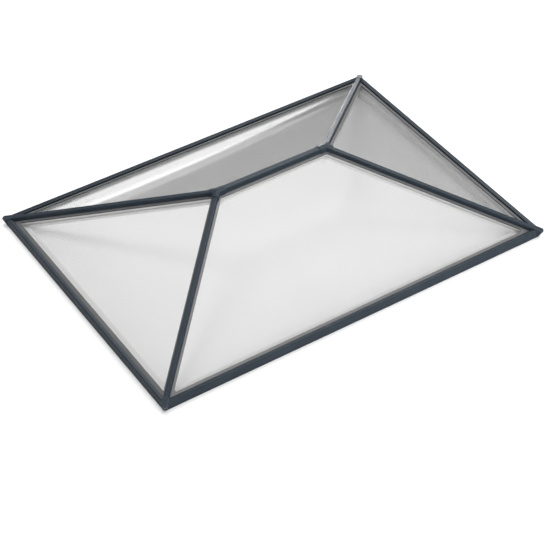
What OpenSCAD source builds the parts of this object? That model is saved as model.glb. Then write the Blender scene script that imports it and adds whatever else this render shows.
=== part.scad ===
// Hipped roof lantern: four sealed glass units on a ring of eaves beams, four hip rafters and a ridge.
// Frame: X along the ridge, Y across it, Z up. The origin is the middle of the base.

/* [Overall size] */
// Length over the eaves caps
lantern_w = 2250; // [1900:10:3000]
// Depth over the eaves caps
lantern_d = 1600; // [1200:10:1700]
// Pitch of all four glass planes, degrees
pitch = 25; // [22:1:30]
// Height of the glass planes above the base at the outer eaves line
glass_base_h = 20; // [19:0.5:40]

/* [Glass units] */
// Thickness of each pane
pane_t = 4; // [4:0.5:6]
// Width of the sealed cavity
cavity_t = 16; // [12:1:20]
// Plan distance from the eaves line to the glass edge
glass_edge_d = 26; // [24:0.5:34]
// Setback of the glass from the hip line, in the glass plane
glass_hip_gap = 15; // [14:0.5:18]
// Setback of the glass from the ridge line, in the glass plane
glass_ridge_gap = 19; // [18:0.5:22]
// Setback of the spacer frame from the glass edge
spacer_inset = 1; // [0.5:0.5:4]
// Width of the spacer frame
spacer_w = 7; // [6:0.5:12]

/* [Gaskets and beads] */
// Thickness of the gasket between glass and bead
gasket_t = 2; // [1:0.5:3]
// Width of gasket that shows beyond the bead
gasket_lip = 1.5; // [0.5:0.5:3]
// Thickness of the grey glazing bead
bead_t = 3; // [2:0.5:5]
// Plan width of bead that shows beside an eaves cap
bead_show_eaves = 20; // [12:0.5:28]
// Width of bead that shows beside a hip cap
bead_show_hip = 10.5; // [6:0.5:16]
// Width of bead that shows beside the ridge cap
bead_show_ridge = 12; // [6:0.5:18]
// Gap left between two beads at a hip, each side
bead_hip_gap = 5; // [4.5:0.5:6]
// Gap left between two beads at the ridge, each side
bead_ridge_gap = 5.5; // [5:0.5:7]
// Radius of the bead's inner corners on the long sides
bead_corner_r = 10; // [6:1:30]
// Radius of the bead's inner corners on the short sides
bead_corner_end_r = 3; // [2:0.5:10]
// Thickness of the glazing tape below the units
tape_t = 3; // [2:0.5:4]
// Setback of the glazing tape from the glass edge
tape_inset = 2; // [1:0.5:3]
// Width of the glazing tape along the hips and ridge
tape_w = 10; // [8:0.5:10]
// Width of the glazing tape along the eaves
tape_eaves_w = 22; // [12:1:30]

/* [Eaves] */
// Height of the outer face of the eaves cap
eaves_cap_h = 52; // [48:1:70]
// Plan width of the eaves cap
eaves_cap_w = 22; // [20:0.5:24]
// Fall of the cap's top towards the glass
eaves_cap_fall = 4; // [0:0.5:6]
// Radius of the cap's outer top edge
eaves_cap_r = 7; // [4:0.5:10]
// Wall of the eaves cap
eaves_wall = 2.5; // [2:0.25:3]
// Gap between the base and the cap's lower edge
eaves_drip_gap = 1; // [0.5:0.5:2]
// Reach of the cap's foot over the beam flange
eaves_foot_w = 8; // [6:0.5:9]
// Plan distance from the eaves line to the beam
beam_edge_d = 4; // [3.5:0.5:5]
// Plan distance from the eaves line to the beam's inner face
beam_inner_d = 80; // [70:1:110]
// Wall of the eaves beam
beam_wall = 3; // [2.5:0.25:4]

/* [Kerb fixings] */
// Diameter of the fixing holes in the beam flange
fix_hole_d = 7; // [5:0.5:9]
// Plan distance from the eaves line to the holes
fix_hole_edge = 18; // [17:0.5:20]
// Spacing of the outer holes along the long sides
fix_long_outer = 1800; // [900:10:1800]
// Spacing of the inner holes along the long sides
fix_long_inner = 600; // [300:10:800]
// Spacing of the holes along the short sides
fix_short = 1000; // [400:10:1050]

/* [Hips and ridge] */
// Width of a hip cap
hip_cap_w = 27; // [26:0.5:30]
// Height of a hip cap's top over the hip line
hip_cap_top = 24; // [18:0.5:30]
// Width of the ridge cap
ridge_cap_w = 33; // [32:0.5:36]
// Radius of the top edges of the caps
cap_r = 5; // [3:0.5:6]
// Wall of the caps
cap_wall = 2; // [1.5:0.25:2.5]
// Clearance between a cap's inside and its pressure plate, each side
plate_clear = 0.5; // [0.3:0.1:1]
// Thickness of the pressure plates
plate_t = 2.5; // [2:0.25:3]
// Width of a hip rafter
rafter_w = 36; // [34:1:50]
// Depth of a hip rafter's underside below the hip line
rafter_depth = 50; // [46:1:80]
// Width of the ridge beam
ridge_beam_w = 40; // [38:1:56]
// Depth of the ridge beam's underside below the ridge line
ridge_beam_depth = 58; // [54:1:90]
// Wall of the rafters and the ridge beam
rafter_wall = 2.5; // [2:0.25:4]
// Width of the rafter's upstanding screw nib
nib_w = 10; // [9.5:0.5:11]
// Depth of the nib's top below the glass line
nib_top_gap = 2; // [1:0.5:4]
// Chamfer of the lower edges of the rafters and the ridge beam
rafter_chamfer = 3; // [1:0.5:5]
// Width of the screw groove in the nib
groove_w = 5.2; // [5:0.1:5.6]
// Depth of the screw groove
groove_depth = 22; // [20:1:24]

/* [Ridge ends] */
// Radius of the ridge hub
hub_r = 32; // [30:1:40]
// Depth of the hub's underside below the ridge line
hub_depth = 66; // [64:1:100]
// Reach of the boss cover's arms in plan
boss_reach = 40; // [38:1:60]
// Height of the boss cover's creased top over the glass planes
boss_rise = 30; // [29.5:0.5:36]
// Radius of the hollow round the stud
boss_core_r = 12; // [8:0.5:13]
// Wall of the boss and corner covers
cover_wall = 2; // [1.5:0.25:3]
// Step of the boss cover's sides beyond the caps
boss_side = 3; // [2:0.25:4]
// Radius of the fillets between the boss cover's arms
boss_fillet_r = 10; // [6:1:16]
// Plan distance from the ridge end to the caps and plates
cap_stop = 20; // [18:0.5:26]
// Diameter of the hub's stud
stud_d = 6; // [5:0.5:6]

/* [Corner covers] */
// Plan length of a corner cover up the hip from the eaves corner
cover_back = 36; // [32:0.5:37]
// Plan distance from the eaves corner to the foot of a hip cap
cap_foot = 24; // [22:0.5:28]
// Plan reach of a corner cover past the eaves corner
cover_beak = 18; // [8:0.5:22]
// Plan setback of the foot of the cover's slanting nose from the eaves corner
nose_foot = 6; // [4:0.5:10]
// Bevel of the beak's top edge
beak_bevel = 2; // [1:0.5:4]
// Length of a corner bracket along the rafter
bracket_l = 45; // [30:1:70]
// Height of the bracket's top, where the rafter's foot is seated
bracket_h = 24; // [16:0.5:25]
// Width of a corner bracket
bracket_w = 30; // [20:1:34]

/* [Plate screws] */
// Diameter of the screw shank
screw_d = 4.8; // [4:0.1:4.8]
// Diameter of the screw head
screw_head_d = 9; // [8:0.5:9.5]
// Height of the screw head
screw_head_h = 3; // [2:0.25:3.5]
// Length of the screw shank
screw_l = 24; // [20:1:26]
// Screws on each hip
hip_screws = 4; // [3:1:6]
// Screws on the ridge
ridge_screws = 3; // [2:1:4]

/* [Hidden] */
// Clearance between covers and what they slide over
slide_clear = 0.2;
// Clearance at the trimmed ends of the eaves caps
trim_clear = 0.3;
// Clearance between the hub and the members that butt on it
hub_clear = 0.1;
// Clearance between cut-off planes and the solids they pass
cut_over = 200;
$fn = 48;

unit_t = 2 * pane_t + cavity_t;
bead_top = gasket_t + bead_t;
ridge_l = lantern_w - lantern_d;
slope_l = lantern_d / 2 / cos(pitch);
ridge_h = glass_base_h + lantern_d / 2 * tan(pitch);
// Slope of the hip line, and the fall of the glass to each side of it in a section across the hip
hip_pitch = atan(tan(pitch) / sqrt(2));
hip_normal = sin(pitch) * sin(hip_pitch) / sqrt(2) + cos(pitch) * cos(hip_pitch);
hip_fall = sin(pitch) / sqrt(2) / hip_normal;
ridge_fall = tan(pitch);
hip_plan_l = lantern_d / sqrt(2);
hip_l = hip_plan_l / cos(hip_pitch);
// Shift of a pane's end along the eaves for each millimetre of setback from the hip
hip_shift = sqrt(1 + pow(cos(pitch), 2));
// Height of a plane parallel to the glass over the hip line and the ridge line
function hip_over(n) = n / hip_normal;
function ridge_over(n) = n / cos(pitch);
// Height of a plane parallel to the glass at plan distance d from the eaves line
function glass_z(d, n) = glass_base_h + d * tan(pitch) + n / cos(pitch);
// Slope distance at which a plane parallel to the glass lies over plan distance d
function slope_at(d, n) = (d + n * sin(pitch)) / cos(pitch);
// In-plane setback of an edge that lies at distance y from the hip or ridge plane
function hip_set(y, n) = (y - n * sin(pitch) / sqrt(2)) / hip_normal;
function ridge_set(y, n) = (y - n * sin(pitch)) / cos(pitch);

bead_eaves_t = slope_at(eaves_cap_w + bead_show_eaves, bead_top);
bead_hip_s = hip_set(hip_cap_w / 2 + bead_show_hip, bead_top);
bead_ridge_s = ridge_set(ridge_cap_w / 2 + bead_show_ridge, bead_top);
bead_outer_d = eaves_cap_w - 2 * eaves_wall;
glass_t0 = glass_edge_d / cos(pitch);
platform_n = -unit_t - tape_t;
// Plan distance at which the beam's sloping platform leaves its flange
platform_d = (beam_wall - glass_base_h - platform_n / cos(pitch)) / tan(pitch);
cover_half = hip_cap_w / 2 + slide_clear + cover_wall;
cover_top = hip_cap_top + slide_clear + cover_wall;
ridge_cap_top = hip_cap_top / cos(hip_pitch);

sides = ["front", "right", "back", "left"];
corners = ["front_left", "front_right", "back_right", "back_left"];
ends = ["left", "right"];
side_parts = ["eaves_beam", "eaves_cap", "outer_pane", "inner_pane", "spacer",
    "glazing_gasket", "glazing_bead", "glazing_tape"];
corner_parts = ["hip_cap", "hip_plate", "hip_rafter", "corner_cover", "corner_bracket"];
end_parts = ["boss_cover", "ridge_hub"];
ridge_parts = ["ridge_cap", "ridge_plate", "ridge_beam", "plate_screws"];

frame_blue = [0.27, 0.31, 0.35];
bead_grey = [0.56, 0.57, 0.58];
rubber_black = [0.10, 0.10, 0.11];
inside_white = [0.92, 0.92, 0.91];
mill_silver = [0.74, 0.75, 0.76];
glass_tint = [0.84, 0.88, 0.90, 0.45];

function is_long(i) = i % 2 == 0;
function side_len(i) = is_long(i) ? lantern_w : lantern_d;
function side_half(i) = is_long(i) ? lantern_d / 2 : lantern_w / 2;
function corner_x(k) = (k == 0 || k == 3 ? -1 : 1) * lantern_w / 2;
function corner_y(k) = (k < 2 ? -1 : 1) * lantern_d / 2;

// Side frame: x along the eaves, y inwards from the eaves line, z up
module on_side(i) {
    rotate([0, 0, 90 * i]) translate([0, -side_half(i), 0]) children();
}

// Slope frame: x along the eaves, y up the glass, z out of it
module on_slope(i) {
    on_side(i) translate([0, 0, glass_base_h]) rotate([pitch, 0, 0]) children();
}

// Corner frame: x from the eaves corner along the hip in plan, y across it, z up
module on_corner(k) {
    translate([corner_x(k), corner_y(k), 0]) rotate([0, 0, 45 + 90 * k]) children();
}

// Hip frame: x up the hip line, y across it, z square to it
module on_hip(k) {
    on_corner(k) translate([0, 0, glass_base_h]) rotate([0, -hip_pitch, 0]) children();
}

// Ridge-end frame: x from the ridge end along the ridge towards the middle, z up from the ridge line
module on_end(e) {
    translate([(e == 0 ? -1 : 1) * ridge_l / 2, 0, ridge_h]) rotate([0, 0, 180 * e]) children();
}

// Extrudes a section drawn across a member (x across, y up) along the member's own x axis
module along(from, to) {
    translate([from, 0, 0]) rotate([90, 0, 90]) linear_extrude(to - from) children();
}

// Extrudes a section drawn as (inwards, up) along a side and trims its ends at 45 degrees in plan
module eaves_run(i, trim) {
    half = side_len(i) / 2;
    intersection() {
        rotate([90, 0, 90]) translate([0, 0, -half]) linear_extrude(2 * half) children();
        translate([0, 0, -cut_over / 2]) linear_extrude(cut_over)
            polygon([[-half + trim, 0], [half - trim, 0],
                [half - trim - cut_over, cut_over], [-half + trim + cut_over, cut_over]]);
    }
}

// Pane outline in the slope frame, set back from the eaves, the hips and the ridge
function pane_outline(i, t0, hip_s, ridge_s) =
    let (half = side_len(i) / 2 - hip_s * hip_shift, t1 = slope_l - ridge_s)
    is_long(i)
        ? [[-half + t0 * cos(pitch), t0], [half - t0 * cos(pitch), t0],
            [half - t1 * cos(pitch), t1], [-half + t1 * cos(pitch), t1]]
        : [[-half + t0 * cos(pitch), t0], [half - t0 * cos(pitch), t0], [0, half / cos(pitch)]];

// Frame between two pane outlines, between two heights over the glass
module pane_frame(i, outer, inner, n0, n1) {
    translate([0, 0, n0]) linear_extrude(n1 - n0) difference() {
        polygon(outer);
        polygon(inner);
    }
}

// Points of a circular arc
function arc(c, r, from, to, steps = 8) =
    [for (j = [0 : steps]) let (a = from + (to - from) * j / steps) c + r * [cos(a), sin(a)]];

// Outline with every corner rounded; the outline runs anticlockwise
function rounded(pts, r) = [for (j = [0 : len(pts) - 1]) each
    let (p = pts[j], after = pts[(j + 1) % len(pts)] - p, before = pts[(j + len(pts) - 1) % len(pts)] - p,
        u = after / norm(after), v = before / norm(before), half = acos(u * v) / 2,
        c = p + (u + v) / norm(u + v) * r / sin(half), foot = p + v * r / tan(half) - c,
        from = atan2(foot[1], foot[0]))
    arc(c, r, from, from + 180 - 2 * half, 6)];

module outer_pane(i) {
    color(glass_tint) on_slope(i) translate([0, 0, -pane_t]) linear_extrude(pane_t)
        polygon(pane_outline(i, glass_t0, glass_hip_gap, glass_ridge_gap));
}

module inner_pane(i) {
    color(glass_tint) on_slope(i) translate([0, 0, -unit_t]) linear_extrude(pane_t)
        polygon(pane_outline(i, glass_t0, glass_hip_gap, glass_ridge_gap));
}

module spacer(i) {
    t0 = glass_t0 + spacer_inset;
    hip_s = glass_hip_gap + spacer_inset;
    ridge_s = glass_ridge_gap + spacer_inset;
    color(mill_silver) on_slope(i) pane_frame(i,
        pane_outline(i, t0, hip_s, ridge_s),
        pane_outline(i, t0 + spacer_w, hip_s + spacer_w, ridge_s + spacer_w),
        pane_t - unit_t, -pane_t);
}

module glazing_tape(i) {
    t0 = glass_t0 + tape_inset;
    hip_s = glass_hip_gap + tape_inset;
    ridge_s = glass_ridge_gap + tape_inset;
    color(rubber_black) on_slope(i) pane_frame(i,
        pane_outline(i, t0, hip_s, ridge_s),
        pane_outline(i, t0 + tape_eaves_w, hip_s + tape_w, ridge_s + tape_w),
        platform_n, -unit_t);
}

module glazing_gasket(i) {
    color(rubber_black) on_slope(i) pane_frame(i,
        pane_outline(i, glass_t0, glass_hip_gap, glass_ridge_gap),
        pane_outline(i, bead_eaves_t + gasket_lip, bead_hip_s + gasket_lip, bead_ridge_s + gasket_lip),
        0, gasket_t);
}

module glazing_bead(i) {
    corner_r = is_long(i) ? bead_corner_r : bead_corner_end_r;
    color(bead_grey) on_slope(i) pane_frame(i,
        pane_outline(i, slope_at(bead_outer_d, bead_top), bead_hip_gap, bead_ridge_gap),
        rounded(pane_outline(i, bead_eaves_t, bead_hip_s, bead_ridge_s), corner_r),
        gasket_t, bead_top);
}

// Triangular hollow beam: a flat flange on the kerb and a sloping platform below the glass
module beam_section() {
    top = glass_z(beam_inner_d, platform_n);
    // The slope's wall is measured square to it, so it is longer when measured straight down
    wall_down = beam_wall / cos(pitch);
    hollow_d = platform_d + (wall_down + 0.001) / tan(pitch);
    difference() {
        polygon([[beam_edge_d, 0], [beam_inner_d, 0], [beam_inner_d, top],
            [platform_d, beam_wall], [beam_edge_d, beam_wall]]);
        polygon([[hollow_d, beam_wall], [beam_inner_d - beam_wall, beam_wall],
            [beam_inner_d - beam_wall, glass_z(beam_inner_d - beam_wall, platform_n) - wall_down]]);
    }
}

function fix_places(i) = is_long(i)
    ? [-fix_long_outer / 2, -fix_long_inner / 2, fix_long_inner / 2, fix_long_outer / 2]
    : [-fix_short / 2, fix_short / 2];

module eaves_beam(i) {
    color(inside_white) on_side(i) difference() {
        eaves_run(i, 0) beam_section();
        // The flange's outer corners are cut off behind the noses of the corner covers
        for (m = [-1, 1])
            translate([m * side_len(i) / 2, 0, -1]) rotate([0, 0, 90 + 45 * m])
                translate([flange_cut - cut_over, -cut_over / 2, 0])
                    cube([cut_over, cut_over, beam_wall + 2]);
        for (x = fix_places(i))
            translate([x, fix_hole_edge, -1]) cylinder(d = fix_hole_d, h = beam_wall + 2);
    }
}

// Open section of the eaves cap: outer face, rounded edge, top, leg on the bead and foot on the beam
module eaves_cap_section() {
    r = eaves_cap_r;
    bend = [r, eaves_cap_h - r];
    leg_d = eaves_cap_w - eaves_wall;
    leg_fall = eaves_cap_fall * (leg_d - r) / (eaves_cap_w - r);
    foot_d = beam_edge_d + eaves_foot_w;
    polygon(concat([[0, eaves_drip_gap]], arc(bend, r, 180, 90), [
            [eaves_cap_w, eaves_cap_h - eaves_cap_fall], [eaves_cap_w, glass_z(eaves_cap_w, bead_top)],
            [leg_d, glass_z(leg_d, bead_top)], [leg_d, eaves_cap_h - leg_fall - eaves_wall]],
        arc(bend, r - eaves_wall, 90, 180), [
            [eaves_wall, beam_wall + eaves_wall], [foot_d, beam_wall + eaves_wall], [foot_d, beam_wall],
            [eaves_wall, beam_wall], [eaves_wall, eaves_drip_gap]]));
}

module eaves_cap(i) {
    trim = (cover_half + trim_clear) * sqrt(2);
    color(frame_blue) on_side(i) eaves_run(i, trim) eaves_cap_section();
}

// Channel section of a cap: walls that stand on the beads, rounded top edges and a flat top
module cap_section(half, top, fall, seat, wall) {
    for (m = [0, 1]) mirror([m, 0]) {
        polygon([[half - wall, seat - fall * (half - wall)], [half, seat - fall * half],
            [half, top - cap_r], [half - wall, top - cap_r]]);
        intersection() {
            translate([half - cap_r, top - cap_r]) difference() {
                circle(cap_r);
                circle(cap_r - wall);
            }
            translate([half - cap_r, top - cap_r]) square(cap_r);
        }
    }
    translate([cap_r - half, top - wall]) square([2 * (half - cap_r), wall]);
}

// Filled outline of a cap, from below its seat to its top
module cap_outline(half, top, low) {
    translate([-half, low]) square([2 * half, top - cap_r - low]);
    translate([cap_r - half, low]) square([2 * (half - cap_r), top - low]);
    for (m = [-1, 1]) translate([m * (half - cap_r), top - cap_r]) circle(cap_r);
}

// Pressure plate section: seated on both beads, flat under the screw heads
module plate_section(half, fall, seat) {
    edge = seat - fall * half;
    flat = screw_head_d / 2 + 0.5;
    polygon([[-half, edge], [0, seat], [half, edge], [half, edge + plate_t], [flat, seat + plate_t],
        [-flat, seat + plate_t], [-half, edge + plate_t]]);
}

// Rafter section: a hollow box with sloping seats for the tape and a grooved nib between the units
module rafter_section(half, depth, fall, seat) {
    edge = seat - fall * half;
    nib = nib_w / 2;
    nib_low = seat - fall * nib;
    groove = groove_w / 2;
    groove_low = -nib_top_gap - groove_depth;
    inner = half - rafter_wall;
    chamfer = rafter_chamfer;
    difference() {
        polygon([[-half, chamfer - depth], [chamfer - half, -depth], [half - chamfer, -depth],
            [half, chamfer - depth], [half, edge], [nib, nib_low], [nib, -nib_top_gap],
            [groove, -nib_top_gap], [groove, groove_low], [-groove, groove_low],
            [-groove, -nib_top_gap], [-nib, -nib_top_gap], [-nib, nib_low], [-half, edge]]);
        polygon([[-inner, edge - rafter_wall], [-inner, chamfer - depth],
            [chamfer - inner, rafter_wall - depth], [inner - chamfer, rafter_wall - depth],
            [inner, chamfer - depth], [inner, edge - rafter_wall]]);
    }
}

hip_seat = hip_over(bead_top);
ridge_seat = ridge_over(bead_top);
hip_stop = hip_l - cap_stop / cos(hip_pitch);

module hip_cap(k) {
    color(frame_blue) on_hip(k) along(cap_foot / cos(hip_pitch), hip_stop)
        cap_section(hip_cap_w / 2, hip_cap_top, hip_fall, hip_seat, cap_wall);
}

function hip_screw_x(j) = hip_l * (j + 1) / (hip_screws + 1);
function ridge_screw_x(j) = ridge_l * ((j + 1) / (ridge_screws + 1) - 0.5);

module hip_plate(k) {
    half = hip_cap_w / 2 - cap_wall - plate_clear;
    color(mill_silver) on_hip(k) difference() {
        along(cover_back / cos(hip_pitch), hip_stop) plate_section(half, hip_fall, hip_seat);
        for (j = [0 : hip_screws - 1])
            translate([hip_screw_x(j), 0, 0]) cylinder(d = screw_d + 2 * slide_clear, h = hip_cap_top);
    }
}

// Inner corner of two beams, from which the rafter and its bracket start
module inside_beams(k) {
    on_corner(k) translate([beam_inner_d * sqrt(2), 0, -cut_over]) rotate([0, 0, -45])
        cube([hip_l, hip_l, 2 * lantern_d]);
}

// The rafter's foot is notched over the bracket, and its head butts on the hub
module hip_rafter(k) {
    notch_l = beam_inner_d * sqrt(2) + bracket_l;
    color(inside_white) difference() {
        intersection() {
            on_hip(k) along(0, hip_l)
                rafter_section(rafter_w / 2, rafter_depth, hip_fall, hip_over(platform_n));
            inside_beams(k);
        }
        on_corner(k) translate([0, -rafter_w, -cut_over])
            cube([notch_l, 2 * rafter_w, cut_over + bracket_h]);
        on_end(k == 0 || k == 3 ? 0 : 1) translate([0, 0, -cut_over / 2])
            cylinder(r = hub_r + hub_clear, h = cut_over);
    }
}

// Block in the inner corner of the beams, on which the rafter's foot is seated
module corner_bracket(k) {
    notch_l = beam_inner_d * sqrt(2) + bracket_l;
    color(inside_white) intersection() {
        on_corner(k) translate([0, -bracket_w / 2, eaves_drip_gap])
            cube([notch_l, bracket_w, bracket_h - eaves_drip_gap]);
        inside_beams(k);
    }
}

// Height of a corner cover's surfaces over the base, from the hip line and the plan distance up the hip
function cover_z(s, n) = glass_base_h + n / cos(hip_pitch) + s * tan(hip_pitch);
// Lean of the nose, from its foot at the eaves corner out to the tip of the beak
nose_tip_z = cover_z(-cover_beak, cover_top) - beak_bevel;
nose_lean = (cover_beak + nose_foot) / (nose_tip_z - eaves_drip_gap);
nose_thick = cover_wall * sqrt(1 + nose_lean * nose_lean);
flange_cut = nose_foot + nose_thick + 0.5;
function nose_s(z) = nose_foot - (z - eaves_drip_gap) * nose_lean;

// Outline of the cover in the hip's own plane: sleeve up the hip, beak past the corner and slanting nose
module cover_outline() {
    flange_clear = beam_wall + slide_clear;
    // The sides reach down past the flange only in front of the beams' own corner
    step_s = beam_edge_d * sqrt(2) + hip_cap_w / 2 - 1;
    polygon([[cover_back, flange_clear], [cover_back, cover_z(cover_back, cover_top)],
        [beak_bevel - cover_beak, cover_z(beak_bevel - cover_beak, cover_top)], [-cover_beak, nose_tip_z],
        [nose_foot, eaves_drip_gap], [step_s, eaves_drip_gap], [step_s, flange_clear]]);
}

// Space behind the two slanting faces of the nose, which start flush with the eaves caps at the base
module nose_faces(inset) {
    rake = atan(nose_lean / sqrt(2));
    intersection_for(m = [-1, 1]) rotate([0, 0, 45 * m])
        translate([inset / cos(rake), 0, eaves_drip_gap]) rotate([0, -rake, 0])
            translate([0, -cut_over / 2, -cut_over / 2]) cube(cut_over);
}

// Hollow of the cover: open below and up the hip, one wall inside the top and the nose
module cover_hollow() {
    inner_top = cover_top - cover_wall;
    meet = (nose_s(cover_z(0, inner_top)) + nose_thick) / (1 + nose_lean * tan(hip_pitch));
    polygon([[2 * cover_back, -1], [2 * cover_back, cover_z(2 * cover_back, inner_top)],
        [meet, cover_z(meet, inner_top)], [nose_s(-1) + nose_thick, -1]]);
}

module corner_cover(k) {
    inner_half = cover_half - cover_wall;
    color(frame_blue) on_corner(k) difference() {
        intersection() {
            translate([0, cover_half, 0]) rotate([90, 0, 0]) linear_extrude(2 * cover_half) cover_outline();
            nose_faces(0);
        }
        intersection() {
            translate([0, inner_half, 0]) rotate([90, 0, 0]) linear_extrude(2 * inner_half) cover_hollow();
            nose_faces(cover_wall);
        }
    }
}

module ridge_cap() {
    stop = ridge_l / 2 - cap_stop;
    color(frame_blue) translate([0, 0, ridge_h]) along(-stop, stop)
        cap_section(ridge_cap_w / 2, ridge_cap_top, ridge_fall, ridge_seat, cap_wall);
}

module ridge_plate() {
    stop = ridge_l / 2 - cap_stop;
    half = ridge_cap_w / 2 - cap_wall - plate_clear;
    color(mill_silver) translate([0, 0, ridge_h]) difference() {
        along(-stop, stop) plate_section(half, ridge_fall, ridge_seat);
        for (j = [0 : ridge_screws - 1])
            translate([ridge_screw_x(j), 0, 0]) cylinder(d = screw_d + 2 * slide_clear, h = ridge_cap_top);
    }
}

module ridge_beam() {
    stop = ridge_l / 2;
    color(inside_white) difference() {
        translate([0, 0, ridge_h]) along(-stop, stop)
            rafter_section(ridge_beam_w / 2, ridge_beam_depth, ridge_fall, ridge_over(platform_n));
        for (e = [0, 1]) on_end(e) translate([0, 0, -cut_over / 2])
            cylinder(r = hub_r + hub_clear, h = cut_over);
    }
}

// Space below three planes parallel to the panes that meet at a ridge end
module below_roof(n) {
    intersection_for(turn = [90, 180, 270]) rotate([0, 0, turn]) rotate([0, pitch, 0])
        translate([-cut_over, -cut_over, n - cut_over]) cube([2 * cut_over, 2 * cut_over, cut_over]);
}

// Round hub with a roof of three slopes below the units, and a stud that holds the boss cover
module ridge_hub(e) {
    color(inside_white) on_end(e) {
        intersection() {
            translate([0, 0, -hub_depth]) cylinder(r = hub_r, h = hub_depth);
            below_roof(platform_n);
        }
        translate([0, 0, -hub_depth + rafter_wall])
            cylinder(d = stud_d, h = hub_depth - rafter_wall + ridge_cap_top + slide_clear);
    }
}

// Directions of the boss cover's arms and their half widths: the ridge and the two hips
arm_turns = [0, 135, 225, 360];
arm_halves = [for (w = [ridge_cap_w, hip_cap_w, hip_cap_w, ridge_cap_w]) w / 2 + slide_clear + boss_side];

function turned(p, a) = [p[0] * cos(a) - p[1] * sin(a), p[0] * sin(a) + p[1] * cos(a)];
// Centre of the fillet between arm a and the next one
function fillet_centre(a) =
    let (half_turn = (arm_turns[a + 1] - arm_turns[a]) / 2,
        near = arm_halves[a] + boss_fillet_r, far = arm_halves[a + 1] + boss_fillet_r,
        run = (far + near * cos(2 * half_turn)) / sin(2 * half_turn))
    turned([run, near], arm_turns[a]);
function fillet_points(a) =
    let (c = fillet_centre(a), steps = 8, sweep = 180 - arm_turns[a + 1] + arm_turns[a])
    [for (j = [0 : steps]) c + boss_fillet_r * [cos(arm_turns[a] + 270 - sweep * j / steps),
        sin(arm_turns[a] + 270 - sweep * j / steps)]];
function arm_end(a, m) = turned([boss_reach, m * arm_halves[a]], arm_turns[a]);

module boss_plan() {
    polygon([for (a = [0 : 2]) each concat([arm_end(a, -1), arm_end(a, 1)], fillet_points(a))]);
}

// Space taken by the three caps below the boss cover
module boss_pockets() {
    reach = 2 * boss_reach;
    for (m = [-1, 1]) rotate([0, 0, 180 + m * 45]) rotate([0, hip_pitch, 0]) along(0, reach)
        cap_outline(hip_cap_w / 2 + slide_clear, hip_cap_top + slide_clear, -reach / 2);
    along(0, reach) cap_outline(ridge_cap_w / 2 + slide_clear, ridge_cap_top + slide_clear, -reach / 2);
}

module boss_cover(e) {
    color(frame_blue) on_end(e) difference() {
        intersection() {
            translate([0, 0, -boss_reach]) linear_extrude(3 * boss_reach) boss_plan();
            below_roof(boss_rise);
        }
        below_roof(bead_top + trim_clear);
        boss_pockets();
        translate([0, 0, -boss_reach])
            cylinder(r = boss_core_r, h = boss_reach + ridge_cap_top + slide_clear);
    }
}

module plate_screw() {
    translate([0, 0, -screw_l]) cylinder(d = screw_d, h = screw_l);
    cylinder(d = screw_head_d, h = screw_head_h);
}

module plate_screws() {
    color(mill_silver) {
        for (k = [0 : 3], j = [0 : hip_screws - 1])
            on_hip(k) translate([hip_screw_x(j), 0, hip_seat + plate_t]) plate_screw();
        for (j = [0 : ridge_screws - 1])
            translate([ridge_screw_x(j), 0, ridge_h + ridge_seat + plate_t]) plate_screw();
    }
}

for (i = [0 : 3]) {
    eaves_beam(i);
    eaves_cap(i);
    outer_pane(i);
    inner_pane(i);
    spacer(i);
    glazing_gasket(i);
    glazing_bead(i);
    glazing_tape(i);
}
for (k = [0 : 3]) {
    hip_cap(k);
    hip_plate(k);
    hip_rafter(k);
    corner_cover(k);
    corner_bracket(k);
}
for (e = [0, 1]) {
    boss_cover(e);
    ridge_hub(e);
}
ridge_cap();
ridge_plate();
ridge_beam();
plate_screws();
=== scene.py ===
import bmesh
import bpy
import math
from mathutils import Matrix, Vector


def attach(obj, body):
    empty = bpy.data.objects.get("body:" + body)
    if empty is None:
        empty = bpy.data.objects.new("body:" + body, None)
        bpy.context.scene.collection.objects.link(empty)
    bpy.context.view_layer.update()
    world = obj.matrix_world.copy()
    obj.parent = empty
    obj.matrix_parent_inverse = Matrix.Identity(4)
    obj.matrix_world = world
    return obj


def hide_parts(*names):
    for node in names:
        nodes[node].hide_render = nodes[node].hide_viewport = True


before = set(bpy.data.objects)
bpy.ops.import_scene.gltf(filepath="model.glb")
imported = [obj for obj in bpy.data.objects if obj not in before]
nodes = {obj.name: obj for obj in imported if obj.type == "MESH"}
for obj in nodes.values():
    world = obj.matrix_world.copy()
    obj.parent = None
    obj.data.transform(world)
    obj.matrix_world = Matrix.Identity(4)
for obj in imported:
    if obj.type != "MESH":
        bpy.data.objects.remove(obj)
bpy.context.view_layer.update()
print("lantern: frame loaded,", len(nodes), "nodes")


# small helpers for node trees
def newFinish(name):
    finish = bpy.data.materials.new(name)
    finish.use_nodes = True
    tree = finish.node_tree
    tree.nodes.clear()
    return finish, tree


def addNode(tree, kind, x, y, **values):
    node = tree.nodes.new(kind)
    node.location = (x, y)
    for key, value in values.items():
        setattr(node, key, value)
    return node


def join(tree, outNode, outName, inNode, inName):
    tree.links.new(outNode.outputs[outName], inNode.inputs[inName])


def grain(tree, coords, scale, detail, x, y, stretch=(1, 1, 1)):
    mapping = addNode(tree, "ShaderNodeMapping", x - 200, y)
    mapping.inputs["Scale"].default_value = stretch
    noise = addNode(tree, "ShaderNodeTexNoise", x, y)
    noise.inputs["Scale"].default_value = scale
    noise.inputs["Detail"].default_value = detail
    join(tree, coords, "Object", mapping, "Vector")
    join(tree, mapping, "Vector", noise, "Vector")
    return noise


noiseRange = (0.3, 0.7)   # the part of a noise that is spread over a look's low and high


def spread(tree, source, low, high, x, y):
    ranger = addNode(tree, "ShaderNodeMapRange", x, y)
    ranger.inputs["From Min"].default_value, ranger.inputs["From Max"].default_value = noiseRange
    ranger.inputs["To Min"].default_value = low
    ranger.inputs["To Max"].default_value = high
    join(tree, source, "Fac", ranger, "Value")
    return ranger


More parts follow.
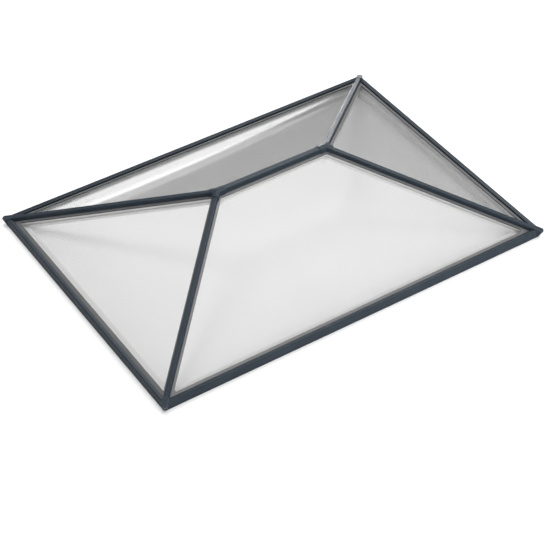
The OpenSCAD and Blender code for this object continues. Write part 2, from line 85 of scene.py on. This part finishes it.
# coated or plain metal and rubber: cloudy colour, uneven gloss and a fine skin
def solidFinish(name, look):
    finish, tree = newFinish(name)
    out = addNode(tree, "ShaderNodeOutputMaterial", 900, 0)
    skin = addNode(tree, "ShaderNodeBsdfPrincipled", 600, 0)
    skin.inputs["Metallic"].default_value = look.get("metal", 0.0)
    skin.inputs["Specular IOR Level"].default_value = look.get("specular", 0.5)
    coords = addNode(tree, "ShaderNodeTexCoord", -900, 0)
    stretch = look.get("stretch", (1, 1, 1))
    cloud = grain(tree, coords, look["cloudScale"], 4, -400, 300, stretch)
    tint = addNode(tree, "ShaderNodeValToRGB", 0, 300)
    for stop, place, tone in zip(tint.color_ramp.elements, noiseRange, ("dark", "light")):
        stop.position = place
        stop.color = (*look[tone], 1)
    join(tree, cloud, "Fac", tint, "Fac")
    if "edge" in look:   # the softened edges are lighter: a painted highlight where light catches the rounding, partly a thinner, worn coat
        litWornEdge = addNode(tree, "ShaderNodeAttribute", 0, 600, attribute_type="GEOMETRY",
                       attribute_name="softEdge")
        patchy = grain(tree, coords, look["edgeScale"], 3, -400, 600)
        amount = spread(tree, patchy, look["edgeLow"], look["edgeHigh"], 0, 800)
        share = addNode(tree, "ShaderNodeMath", 200, 600, operation="MULTIPLY")
        join(tree, litWornEdge, "Fac", share, 0)
        join(tree, amount, "Result", share, 1)
        blend = addNode(tree, "ShaderNodeMix", 400, 300, data_type="RGBA")
        blend.inputs["B"].default_value = (*look["edge"], 1)
        join(tree, share, "Value", blend, "Factor")
        tree.links.new(tint.outputs["Color"], blend.inputs[6])
        tree.links.new(blend.outputs[2], skin.inputs["Base Color"])
    else:
        join(tree, tint, "Color", skin, "Base Color")
    gloss = grain(tree, coords, look["glossScale"], 3, -400, 0, stretch)
    rough = spread(tree, gloss, look["roughLow"], look["roughHigh"], 0, 0)
    join(tree, rough, "Result", skin, "Roughness")
    peel = grain(tree, coords, look["peelScale"], 2, -400, -300, stretch)
    bump = addNode(tree, "ShaderNodeBump", 300, -300)
    bump.inputs["Strength"].default_value = look["peelStrength"]
    bump.inputs["Distance"].default_value = look["peelDepth"]
    join(tree, peel, "Fac", bump, "Height")
    join(tree, bump, "Normal", skin, "Normal")
    join(tree, skin, "BSDF", out, "Surface")
    return finish


# edge, edgeScale, edgeLow, edgeHigh: a lighter colour on the softened edges of the coats, a painted
# highlight that also stands for a thinner, worn coat
frameCoatLook = dict(dark=(0.0225, 0.0300, 0.0390), light=(0.029, 0.038, 0.048), cloudScale=7.0,
                     glossScale=60.0, roughLow=0.42, roughHigh=0.55, specular=0.06,
                     edge=(0.100, 0.115, 0.135), edgeScale=14.0, edgeLow=0.35, edgeHigh=0.9,
                     peelScale=900.0, peelStrength=0.18, peelDepth=0.0004)
beadCoatLook = dict(dark=(0.087, 0.0885, 0.0905), light=(0.106, 0.1075, 0.1095), cloudScale=9.0,
                    glossScale=70.0, roughLow=0.45, roughHigh=0.60,
                    edge=(0.20, 0.205, 0.21), edgeScale=14.0, edgeLow=0.35, edgeHigh=0.9,
                    peelScale=900.0, peelStrength=0.15, peelDepth=0.0004)
insideCoatLook = dict(dark=(0.89, 0.89, 0.885), light=(0.93, 0.93, 0.925), cloudScale=5.0,
                      glossScale=50.0, roughLow=0.40, roughHigh=0.52,
                      peelScale=900.0, peelStrength=0.15, peelDepth=0.0004)
millLook = dict(dark=(0.50, 0.51, 0.52), light=(0.62, 0.63, 0.64), cloudScale=40.0, metal=1.0,
                glossScale=160.0, roughLow=0.30, roughHigh=0.48, stretch=(1, 1, 6),
                peelScale=700.0, peelStrength=0.10, peelDepth=0.0003)
rubberLook = dict(dark=(0.010, 0.010, 0.011), light=(0.018, 0.018, 0.019), cloudScale=30.0, specular=0.3,
                  glossScale=200.0, roughLow=0.65, roughHigh=0.85,
                  peelScale=1500.0, peelStrength=0.25, peelDepth=0.0003)
tapeLook = dict(dark=(0.78, 0.78, 0.775), light=(0.85, 0.85, 0.845), cloudScale=30.0, specular=0.3,
                glossScale=200.0, roughLow=0.70, roughHigh=0.88,
                peelScale=1300.0, peelStrength=0.25, peelDepth=0.0003)
spacerLook = dict(dark=(0.74, 0.74, 0.745), light=(0.82, 0.82, 0.825), cloudScale=25.0, specular=0.4,
                  glossScale=150.0, roughLow=0.45, roughHigh=0.62,
                  peelScale=1000.0, peelStrength=0.15, peelDepth=0.0003)
screwLook = dict(dark=(0.42, 0.42, 0.42), light=(0.55, 0.55, 0.54), cloudScale=300.0, metal=1.0,
                 glossScale=500.0, roughLow=0.25, roughHigh=0.40,
                 peelScale=1200.0, peelStrength=0.10, peelDepth=0.0002)

# clear pane: light passes, more is mirrored at a slant, and faint wash marks dull the mirror
paneLook = dict(through=(0.988, 0.9885, 0.988), mirror=(1.0, 1.0, 1.0), headOn=0.04, slantPower=4.2,
                roughLow=0.004, roughHigh=0.012, markScale=3.0)


def paneFinish(name, look):
    finish, tree = newFinish(name)
    out = addNode(tree, "ShaderNodeOutputMaterial", 1000, 0)
    coords = addNode(tree, "ShaderNodeTexCoord", -900, 0)
    clear = addNode(tree, "ShaderNodeBsdfTransparent", 500, 100)
    clear.inputs["Color"].default_value = (*look["through"], 1)
    mirror = addNode(tree, "ShaderNodeBsdfGlossy", 500, -100)
    mirror.inputs["Color"].default_value = (*look["mirror"], 1)
    marks = grain(tree, coords, look["markScale"], 5, -400, -200)
    rough = spread(tree, marks, look["roughLow"], look["roughHigh"], 0, -200)
    join(tree, rough, "Result", mirror, "Roughness")
    slant = addNode(tree, "ShaderNodeLayerWeight", -400, 200)   # the same from both sides of the pane
    slant.inputs["Blend"].default_value = 0.5
    rise = addNode(tree, "ShaderNodeMath", -200, 200, operation="POWER")
    rise.inputs[1].default_value = look["slantPower"]
    join(tree, slant, "Facing", rise, 0)
    share = addNode(tree, "ShaderNodeMath", 0, 200, operation="MULTIPLY_ADD")
    share.inputs[1].default_value = 1.0 - look["headOn"]
    share.inputs[2].default_value = look["headOn"]
    join(tree, rise, "Value", share, 0)
    mix = addNode(tree, "ShaderNodeMixShader", 800, 0)
    join(tree, share, "Value", mix, 0)
    tree.links.new(clear.outputs["BSDF"], mix.inputs[1])
    tree.links.new(mirror.outputs["BSDF"], mix.inputs[2])
    join(tree, mix, "Shader", out, "Surface")
    return finish


finishes = {
    "frameCoat": solidFinish("frameCoat", frameCoatLook),
    "beadCoat": solidFinish("beadCoat", beadCoatLook),
    "insideCoat": solidFinish("insideCoat", insideCoatLook),
    "millMetal": solidFinish("millMetal", millLook),
    "sealRubber": solidFinish("sealRubber", rubberLook),
    "foamTape": solidFinish("foamTape", tapeLook),
    "spacerBar": solidFinish("spacerBar", spacerLook),
    "screwSteel": solidFinish("screwSteel", screwLook),
    "clearPane": paneFinish("clearPane", paneLook),
}
print("lantern: finishes made")

# every CAD node takes the finish of its kind
kindFinish = {
    "eaves_beam": "insideCoat", "eaves_cap": "frameCoat",
    "outer_pane": "clearPane", "inner_pane": "clearPane", "spacer": "spacerBar",
    "glazing_gasket": "sealRubber", "glazing_bead": "beadCoat", "glazing_tape": "foamTape",
    "hip_cap": "frameCoat", "hip_plate": "millMetal", "hip_rafter": "insideCoat",
    "corner_cover": "frameCoat", "corner_bracket": "insideCoat",
    "boss_cover": "frameCoat", "ridge_hub": "insideCoat",
    "ridge_cap": "frameCoat", "ridge_plate": "millMetal", "ridge_beam": "insideCoat",
    "plate_screws": "screwSteel",
}
for name, obj in nodes.items():
    kind = next(k for k in kindFinish if name.startswith(k))
    for slot in obj.material_slots:
        slot.material = finishes[kindFinish[kind]]
print("lantern: finishes set on the nodes")

# the coated pieces are shown with softened edges, each from a merged copy of its node
softKinds = {
    "eaves_cap": dict(slot="frame_paint", width=0.0010, sharp=25.0),
    "hip_cap": dict(slot="frame_paint", width=0.0008, sharp=25.0),
    "ridge_cap": dict(slot="frame_paint", width=0.0008, sharp=25.0),
    "corner_cover": dict(slot="frame_paint", width=0.0009, sharp=20.0),
    "boss_cover": dict(slot="frame_paint", width=0.0010, sharp=20.0),
    "glazing_bead": dict(slot="bead_paint", width=0.0007, sharp=25.0),
}
softRules = dict(merge=1e-6, flat=0.5, segments=2)   # metres, degrees, cuts across a rounded edge
coated = bpy.data.collections.new("coatedPieces")   # takes the sheen of the light cards


def softenNode(name, soft):
    node = nodes[name]
    shell = bmesh.new()
    shell.from_mesh(node.data)
    bmesh.ops.remove_doubles(shell, verts=shell.verts, dist=softRules["merge"])
    bmesh.ops.dissolve_limit(shell, angle_limit=math.radians(softRules["flat"]), verts=shell.verts,
                             edges=shell.edges)
    crisp = [e for e in shell.edges
             if len(e.link_faces) == 2 and e.calc_face_angle(0.0) > math.radians(soft["sharp"])]
    made = bmesh.ops.bevel(shell, geom=crisp, offset=soft["width"], offset_type="OFFSET", affect="EDGES",
                           segments=softRules["segments"], profile=0.5, material=-1, clamp_overlap=True)
    bmesh.ops.recalc_face_normals(shell, faces=shell.faces)
    # a mask of the rounded faces, which the coats paint lighter as a painted highlight and worn coat
    mark = shell.loops.layers.float_color.new("softEdge")
    rounded = set(made["faces"])
    for face in shell.faces:
        shade = 1.0 if face in rounded else 0.0
        for loop in face.loops:
            loop[mark] = (shade, shade, shade, 1)
    mesh = bpy.data.meshes.new(name + "_soft")
    shell.to_mesh(mesh)
    shell.free()
    for slot in node.material_slots:
        mesh.materials.append(slot.material)
    piece = bpy.data.objects.new(name + "_soft", mesh)
    bpy.context.scene.collection.objects.link(piece)
    coated.objects.link(piece)
    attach(piece, "root")
    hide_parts(name)


for kind, soft in softKinds.items():
    for name in sorted(n for n in nodes if n.startswith(kind)):
        softenNode(name, soft)
print("lantern: edges softened")

# floor: a near disc that the panes mirror, and a far ring that they don't
floorLook = dict(middle=(-0.1, -0.1), drop=0.0005, near=1.8, radius=3.35, segments=96,
                 dark=(0.86, 0.86, 0.86), light=(0.90, 0.90, 0.90), specular=0.15,
                 cloudScale=1.2, glossScale=4.0, roughLow=0.75, roughHigh=0.9,
                 peelScale=60.0, peelStrength=0.05, peelDepth=0.0005)
floorFinish = solidFinish("studioFloor", floorLook)


def layFloor(name, inner, outer):
    ring = bmesh.new()
    bmesh.ops.create_circle(ring, cap_ends=inner == 0, segments=floorLook["segments"], radius=outer)
    if inner:
        rim = bmesh.ops.extrude_edge_only(ring, edges=ring.edges[:])["geom"]
        rimVerts = [v for v in rim if isinstance(v, bmesh.types.BMVert)]
        bmesh.ops.scale(ring, verts=rimVerts, vec=(inner / outer, inner / outer, 1))
    bmesh.ops.translate(ring, verts=ring.verts, vec=(*floorLook["middle"], -floorLook["drop"]))
    bmesh.ops.recalc_face_normals(ring, faces=ring.faces)
    mesh = bpy.data.meshes.new(name)
    ring.to_mesh(mesh)
    ring.free()
    mesh.materials.append(floorFinish)
    floor = bpy.data.objects.new(name, mesh)
    bpy.context.scene.collection.objects.link(floor)
    return floor


layFloor("studioFloor", 0, floorLook["near"])
farFloor = layFloor("studioFloorFar", floorLook["near"], floorLook["radius"])
farFloor.visible_glossy = False   # the panes mirror the room past the near floor

# studio light: soft fills, and soft cards that only give the coated pieces a sheen
lights = [
    dict(name="topSoft", place=(1.5, -0.4, 5.4), aim=(0.3, -0.1, 0), size=6.8, power=185.0, use="fill"),
    dict(name="frontRight", place=(2.2, -4.8, 1.7), aim=(0, 0, 0.1), size=2.4, power=135.0, use="fill"),
    dict(name="leftTop", place=(-1.3, 2.4, 5.4), aim=(-0.6, 0.1, 0), size=2.8, power=100.0, use="fill"),
    dict(name="backCard", place=(3.0, 4.6, 4.2), aim=(0, 0, 0.1), size=3.0, power=180.0, use="sheen"),
    dict(name="highCard", place=(2.5, 1.6, 5.3), aim=(0, 0.4, 0.1), size=2.0, power=560.0, use="sheen"),
    dict(name="sideCard", place=(4.3, 2.2, 3.8), aim=(0.4, -0.2, 0.1), size=1.6, power=130.0, use="sheen"),
    dict(name="lowCard", place=(3.5, 5.2, 0.6), aim=(0.5, 0.3, 0.2), size=1.2, power=260.0, use="sheen"),
]
for lamp in lights:
    data = bpy.data.lights.new(lamp["name"], "AREA")
    data.shape = "SQUARE"
    data.size = lamp["size"]
    data.energy = lamp["power"]
    obj = bpy.data.objects.new(lamp["name"], data)
    obj.location = lamp["place"]
    toward = Vector(lamp["aim"]) - Vector(lamp["place"])
    obj.rotation_euler = toward.to_track_quat("-Z", "Y").to_euler()
    obj.visible_glossy = lamp["use"] == "sheen"
    obj.visible_diffuse = lamp["use"] == "fill"
    if lamp["use"] == "sheen":
        obj.light_linking.receiver_collection = coated   # the panes don't mirror the cards
    bpy.context.scene.collection.objects.link(obj)

# room: a pale tent, brighter on the right; the panes and coats mirror a dimmer room, lighter overhead
roomLook = dict(level=0.18, overhead=0.55, riseFrom=0.1, riseTo=0.9,
                tentLeft=0.74, tentRight=1.14, strength=1.0)
sky = bpy.data.worlds.new("studioRoom")
bpy.context.scene.world = sky
sky.use_nodes = True
skyTree = sky.node_tree
direction = addNode(skyTree, "ShaderNodeTexCoord", -800, 0)
split = addNode(skyTree, "ShaderNodeSeparateXYZ", -600, 0)
rise = addNode(skyTree, "ShaderNodeMapRange", -400, 0, interpolation_type="SMOOTHSTEP")
rise.inputs["From Min"].default_value = roomLook["riseFrom"]
rise.inputs["From Max"].default_value = roomLook["riseTo"]
rise.inputs["To Min"].default_value = roomLook["level"]
rise.inputs["To Max"].default_value = roomLook["overhead"]
join(skyTree, direction, "Generated", split, "Vector")
join(skyTree, split, "Z", rise, "Value")
tent = addNode(skyTree, "ShaderNodeMapRange", -400, -300)
tent.inputs["From Min"].default_value = -1.0
tent.inputs["To Min"].default_value = roomLook["tentLeft"]
tent.inputs["To Max"].default_value = roomLook["tentRight"]
join(skyTree, split, "X", tent, "Value")
rays = addNode(skyTree, "ShaderNodeLightPath", -400, 300)
pick = addNode(skyTree, "ShaderNodeMix", -200, 0, data_type="FLOAT")
join(skyTree, rays, "Is Glossy Ray", pick, "Factor")
skyTree.links.new(tent.outputs["Result"], pick.inputs[2])
skyTree.links.new(rise.outputs["Result"], pick.inputs[3])
# the backdrop is white, as the floor is
white = addNode(skyTree, "ShaderNodeMath", 0, 0, operation="MAXIMUM")
skyTree.links.new(pick.outputs[0], white.inputs[0])
join(skyTree, rays, "Is Camera Ray", white, 1)
join(skyTree, white, "Value", skyTree.nodes["Background"], "Color")
skyTree.nodes["Background"].inputs["Strength"].default_value = roomLook["strength"]
bpy.context.scene.view_settings.view_transform = "Standard"
print("lantern: floor and lights set")

# camera at the photo's view: turn and lift in degrees, focal length and frame in pixels, sensor in mm
shot = dict(turn=-33.445, lift=42.311, focal=1791.0, frame=550, sensor=36.0, farClip=100.0,
            away=9.26884, sideways=-0.016076, up=0.231602)
turn, lift = math.radians(shot["turn"]), math.radians(shot["lift"])
backward = Vector((math.sin(turn) * math.cos(lift), -math.cos(turn) * math.cos(lift), math.sin(lift)))
right = Vector((math.cos(turn), math.sin(turn), 0.0))
above = backward.cross(right)
cameraData = bpy.data.cameras.new("photoCamera")
cameraData.sensor_width = shot["sensor"]
cameraData.sensor_fit = "AUTO"
cameraData.lens = shot["focal"] / shot["frame"] * shot["sensor"]
cameraData.clip_end = shot["farClip"]
camera = bpy.data.objects.new("photoCamera", cameraData)
place = backward * shot["away"] - right * shot["sideways"] - above * shot["up"]
camera.matrix_world = Matrix((
    (right.x, above.x, backward.x, place.x),
    (right.y, above.y, backward.y, place.y),
    (right.z, above.z, backward.z, place.z),
    (0, 0, 0, 1)))
bpy.context.scene.collection.objects.link(camera)
bpy.context.scene.camera = camera
print("lantern: camera set")

bpy.context.view_layer.update()
